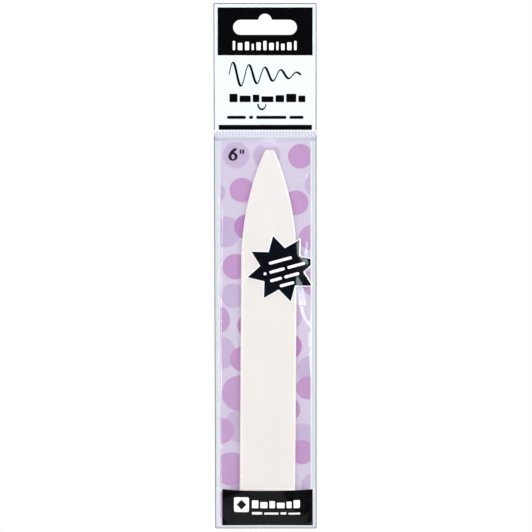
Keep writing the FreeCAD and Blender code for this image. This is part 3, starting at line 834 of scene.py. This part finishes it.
def star_outline(rim):
    """Eight-pointed star, cut off short of the right weld; rim moves its points out."""
    loop = []
    for i in range(2 * STAR_POINTS):
        radius = STAR_VALLEY + VALLEY_GROWTH * rim if i % 2 else STAR_TIP + TIP_GROWTH * rim
        angle = math.radians(STAR_TURN + i * 180 / STAR_POINTS)
        loop.append((STAR_X + STAR_STRETCH * radius * math.cos(angle),
                     STAR_RISE + radius * math.sin(angle)))
    return clipped(loop, BAG_LEFT, STAR_REACH + VALLEY_GROWTH * rim, 0, BAG_TOP)


def on_film(name, loops, depth, thickness, material, body):
    """A layer of ink or label that follows the front film."""
    mesh = filled_mesh(name, loops, depth, thickness, cut=PRINT_CUT, follow=film_depth)
    return piece_from(name, mesh, material, body)


def star_label():
    """The label, its rim, and slanted bars where its slogan was."""
    rim = on_film("star_rim", [star_outline(RIM)], FIRST, LABEL_GAUGE, "white_ink", "pouch")
    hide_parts("starburst_rim")
    star = on_film("star_label", [star_outline(0)], SECOND, LABEL_GAUGE, "star_black",
                   "pouch")
    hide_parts("starburst_label")
    half_height, slant = 0.62, 15
    lines = [  # along and across the slanted lines: starts, ends, line height
        (-4.8, 5.4, 3.6),
        (-8.2, -6.9, -0.2), (-5.6, 1.2, -0.2), (2.4, 10.2, -0.2),
        (-6.2, -1.0, -3.8), (0.1, 6.7, -3.8),
        (-2.8, 3.6, -7.0),
    ]
    loops = [turned(bar(a, b, v - half_height, v + half_height, 0.6), STAR_X, STAR_RISE, slant)
             for a, b, v in lines]
    on_film("star_lines", loops, THIRD, MARK_GAUGE, "white_ink", "pouch")


def band_print():
    """The black band on the foot lip, with a diamond on a plate and strokes for its words."""
    steps, width, dip = 24, BAND_RIGHT - BAND_LEFT, 0.5
    top, foot = [], []
    for i in range(steps + 1):
        arch = math.sin(math.pi * i / steps)
        top.append((BAND_LEFT + width * i / steps, LIP_TOP - 0.05 - dip * arch ** 0.7))
        foot.append((BAND_RIGHT - width * i / steps, BAND_FOOT - 0.15 + 0.1 * arch))
    band = on_film("band_ink", [top[::-1] + foot[::-1]], FIRST, LABEL_GAUGE, "black",
                   "foot_lip")
    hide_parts("foot_band")
    plate = [bar(-13.3, -6.9, 7.2, 13.6, 0.7),
             [(-8.0, 10.4), (-10.1, 12.5), (-12.2, 10.4), (-10.1, 8.3)]]
    words = picket(-5.6, 15.0, 8.9, 12.3, (3.0, 3.4, 2.6, 3.6, 2.4, 3.0), 0.9)
    small = picket(-5.6, 15.2, 6.1, 7.2, (4.2, 6.0, 2.4, 5.0), 0.8)
    on_film("band_marks", plate + words + small, SECOND, MARK_GAUGE, "white_ink", "foot_lip")


def picket(left, right, low, high, widths, gap):
    """Rounded upright strokes of uneven width and height that fill a line like a word would."""
    total = sum(widths) + gap * (len(widths) - 1)
    scale = (right - left) / total
    strokes, x = [], left
    for number, width in enumerate(widths):
        short = (0.0, 0.22, 0.1, 0.3, 0.16)[number % 5] * (high - low)
        strokes.append(bar(x, x + width * scale, low, high - short, 0.35))
        x += (width + gap) * scale
    return strokes


def header_marks():
    """Plain strokes, blocks, bars and a pen wave that stand for the header's print."""
    strokes = picket(-13.9, 13.6, 206.0, 210.0,
                     (0.9, 1.7, 1.5, 0.8, 1.6, 1.2, 1.7, 0.8, 1.3, 1.6, 0.9), 0.95)
    print_piece("header_block_strokes", strokes, PRINT_FACE + 0.002, "white_ink", "header")
    below = HEADER_FACE - UNDER_PLY
    heavy = picket(-15.3, 17.4, 183.6, 187.2, (3.2, 4.4, 2.6, 4.8, 3.4, 4.0, 2.8), 0.85)
    print_piece("header_title_blocks", heavy, below, "black", "header")
    small = [bar(left, right, 176.4, 177.7, 0.6)
             for left, right in ((-16.4, -8.2), (-6.9, -5.1), (-3.8, 9.2), (10.5, 16.6))]
    print_piece("header_small_bars", small, below, "black", "header")
    foot, tall = 182.9, 1.4
    cup = arc_points(-1.4, 0, 2.0, 180, 360, 24) + arc_points(-1.25, 0, 1.45, 360, 180, 24)
    print_piece("header_cup", [[(x, foot + y * tall) for x, y in cup]], below,
                "black", "header")
    flourish("header_flourish", below + 0.012)


def flourish(name, depth):
    """A pen wave that dies away, with a stroke that thins on its way up."""
    count, waves = 220, 4.5
    start, reach, middle = -15.5, 31.0, 195.4
    first_size, last_size = 5.6, 0.8
    thin, thick = 0.22, 0.5
    run = reach / (math.tau * waves)
    left, right = [], []
    for i in range(count + 1):
        share = i / count
        angle = math.tau * waves * share
        size = first_size + (last_size - first_size) * share
        x, rise = start + reach * share, middle + size * math.sin(angle)
        climb = size * math.cos(angle)
        length = math.hypot(run, climb)
        width = thin + (thick - thin) * (0.5 - 0.5 * climb / length)
        across, up = -climb / length * width, run / length * width
        left.append(spot(x + across, rise + up, depth))
        right.append(spot(x - across, rise - up, depth))
    points = left + right
    drop = Vector((0, PRINT_GAUGE * MM, 0))
    points += [p + drop for p in points]
    n, layer = count + 1, 2 * (count + 1)
    faces = []
    for i in range(count):
        faces.append((i, i + 1, n + i + 1, n + i))
        faces.append((layer + n + i, layer + n + i + 1, layer + i + 1, layer + i))
        faces.append((i, layer + i, layer + i + 1, i + 1))
        faces.append((n + i + 1, layer + n + i + 1, layer + n + i, n + i))
    faces.append((0, n, layer + n, layer))
    faces.append((count, layer + count, layer + n + count, n + count))
    mesh = bpy.data.meshes.new(name)
    mesh.from_pydata(points, [], faces)
    mesh.validate()
    piece_from(name, mesh, "black", "header", False)


# ---------------------------------------------------------------- room, light and camera
PACK_MIDDLE = spot(0.43, 113.0, 1.0)
VIEW_HEIGHT = 0.2291  # metres that the camera's frame spans at the pack
LENS, SENSOR = 200.0, 36.0
FLOOR_DROP, FLOOR_RADIUS = 0.22, 1.6
COOL = (0.98, 0.995, 1.02)


def room_light(tree):
    """How bright the room is in each direction: sides, behind, sky, and low on the left.

    Each ramp says where it starts and stops along its axis, and its strength at both."""
    across, along, up = (coordinate(tree, "Generated", axis) for axis in "XYZ")
    sides = ramp(tree, along, -0.72, -0.2, 0.02, 0.55)
    behind = ramp(tree, along, 0.0, 0.6, 0.0, 0.25)
    sky = ramp(tree, up, 0.25, 0.8, 0.0, 0.4)
    below = ramp(tree, up, -0.14, -0.11, 0.42, 0.0)
    leftward = ramp(tree, across, 0.42, 0.58, 1.0, 0.0)
    low_left = calculated(tree, "MULTIPLY", below, leftward)
    total = calculated(tree, "ADD", calculated(tree, "ADD", sides, behind), sky)
    return calculated(tree, "ADD", total, low_left)


def room():
    """A plain white room, which lights the pack unevenly so that its film has form."""
    world = bpy.data.worlds.new("studio")
    bpy.context.scene.world = world
    world.use_nodes = True
    tree = world.node_tree
    tree.nodes.clear()
    lit = add(tree, "Background", Color=(1, 1, 1, 1), Strength=room_light(tree))
    backdrop = ramp(tree, coordinate(tree, "Generated", "Y"), 0.8, 0.97, 0.84, 1.0)
    seen = add(tree, "Background", Color=(1, 1, 1, 1), Strength=backdrop)
    camera_ray = add(tree, "LightPath").outputs["Is Camera Ray"]
    add(tree, "OutputWorld", Surface=shader_mix(tree, camera_ray, lit, seen))


def floor():
    """Pale floor below the hanging pack, left out of its reflections."""
    mesh = bpy.data.meshes.new("floor")
    work = bmesh.new()
    bmesh.ops.create_circle(work, cap_ends=True, segments=96, radius=FLOOR_RADIUS)
    work.to_mesh(mesh)
    work.free()
    material, tree = new_material("pale_floor")
    colour = mixed(tree, noise_node(tree, 40), (0.70, 0.70, 0.71, 1), (0.66, 0.66, 0.67, 1))
    surface = add(tree, "BsdfPrincipled", Base_Color=colour, Roughness=0.9)
    add(tree, "OutputMaterial", Surface=surface.outputs["BSDF"])
    mesh.materials.append(material)
    ground = in_scene("floor", mesh)
    ground.location = (0, 0, FOOT_Z - FLOOR_DROP)
    ground.visible_glossy = False


def area_light(name, azimuth, elevation, distance, width, height, radiance, colour=(1, 1, 1),
               seen_by="both"):
    """Soft box aimed at the pack; azimuth 0 is in front, positive to the right, in degrees."""
    light = bpy.data.lights.new(name, "AREA")
    light.shape = "RECTANGLE"
    light.size, light.size_y = width, height
    light.energy = radiance * width * height * math.pi
    light.color = colour
    thing = in_scene(name, light)
    turn, lift = math.radians(azimuth), math.radians(elevation)
    away = Vector((math.sin(turn) * math.cos(lift), -math.cos(turn) * math.cos(lift),
                   math.sin(lift)))
    thing.location = PACK_MIDDLE + away * distance
    thing.rotation_euler = (-away).to_track_quat("-Z", "Y").to_euler()
    thing.visible_glossy = seen_by != "diffuse"
    thing.visible_diffuse = seen_by != "glossy"


def lights():
    """Soft boxes: the diffuse ones light the prints, and the glossy ones show in the film.

    The numbers are azimuth, elevation, distance, width, height and radiance."""
    area_light("key_box", -28, 30, 1.4, 1.0, 1.0, 3.15, COOL, "diffuse")
    area_light("fill_box", 34, 12, 1.5, 1.0, 1.1, 2.75, COOL, "diffuse")
    area_light("side_left", -84, 8, 1.3, 0.6, 1.0, 2.6, seen_by="diffuse")
    area_light("side_right", 86, 8, 1.3, 0.6, 1.0, 2.6, seen_by="diffuse")
    area_light("top_box", 5, 75, 1.3, 0.8, 0.8, 1.0)
    area_light("back_box", 155, 30, 1.6, 1.0, 1.0, 0.9)
    area_light("margin_left", -20, -2.8, 1.3, 0.05, 0.25, 10.0, seen_by="glossy")
    area_light("window_soft", 66, 9, 1.3, 0.4, 0.72, 2.7, (0.82, 0.98, 1.05), "glossy")
    area_light("window_bright", 82, 11, 1.3, 0.24, 0.9, 32.0, seen_by="glossy")


def camera():
    """A long lens straight in front of the pack."""
    data = bpy.data.cameras.new("camera")
    data.lens, data.sensor_width = LENS, SENSOR
    data.clip_end = 20
    thing = in_scene("camera", data)
    thing.location = PACK_MIDDLE + Vector((0, -VIEW_HEIGHT * LENS / SENSOR, 0))
    thing.rotation_euler = (math.radians(90), 0, 0)
    bpy.context.scene.camera = thing


header()
edges()
front_films()
back_of_pouch()
crease()
card()
size_mark()
star_label()
band_print()
header_marks()
use_material("creaser_blade", "blade")
room()
floor()
lights()
camera()
bpy.context.scene.view_settings.view_transform = "Standard"
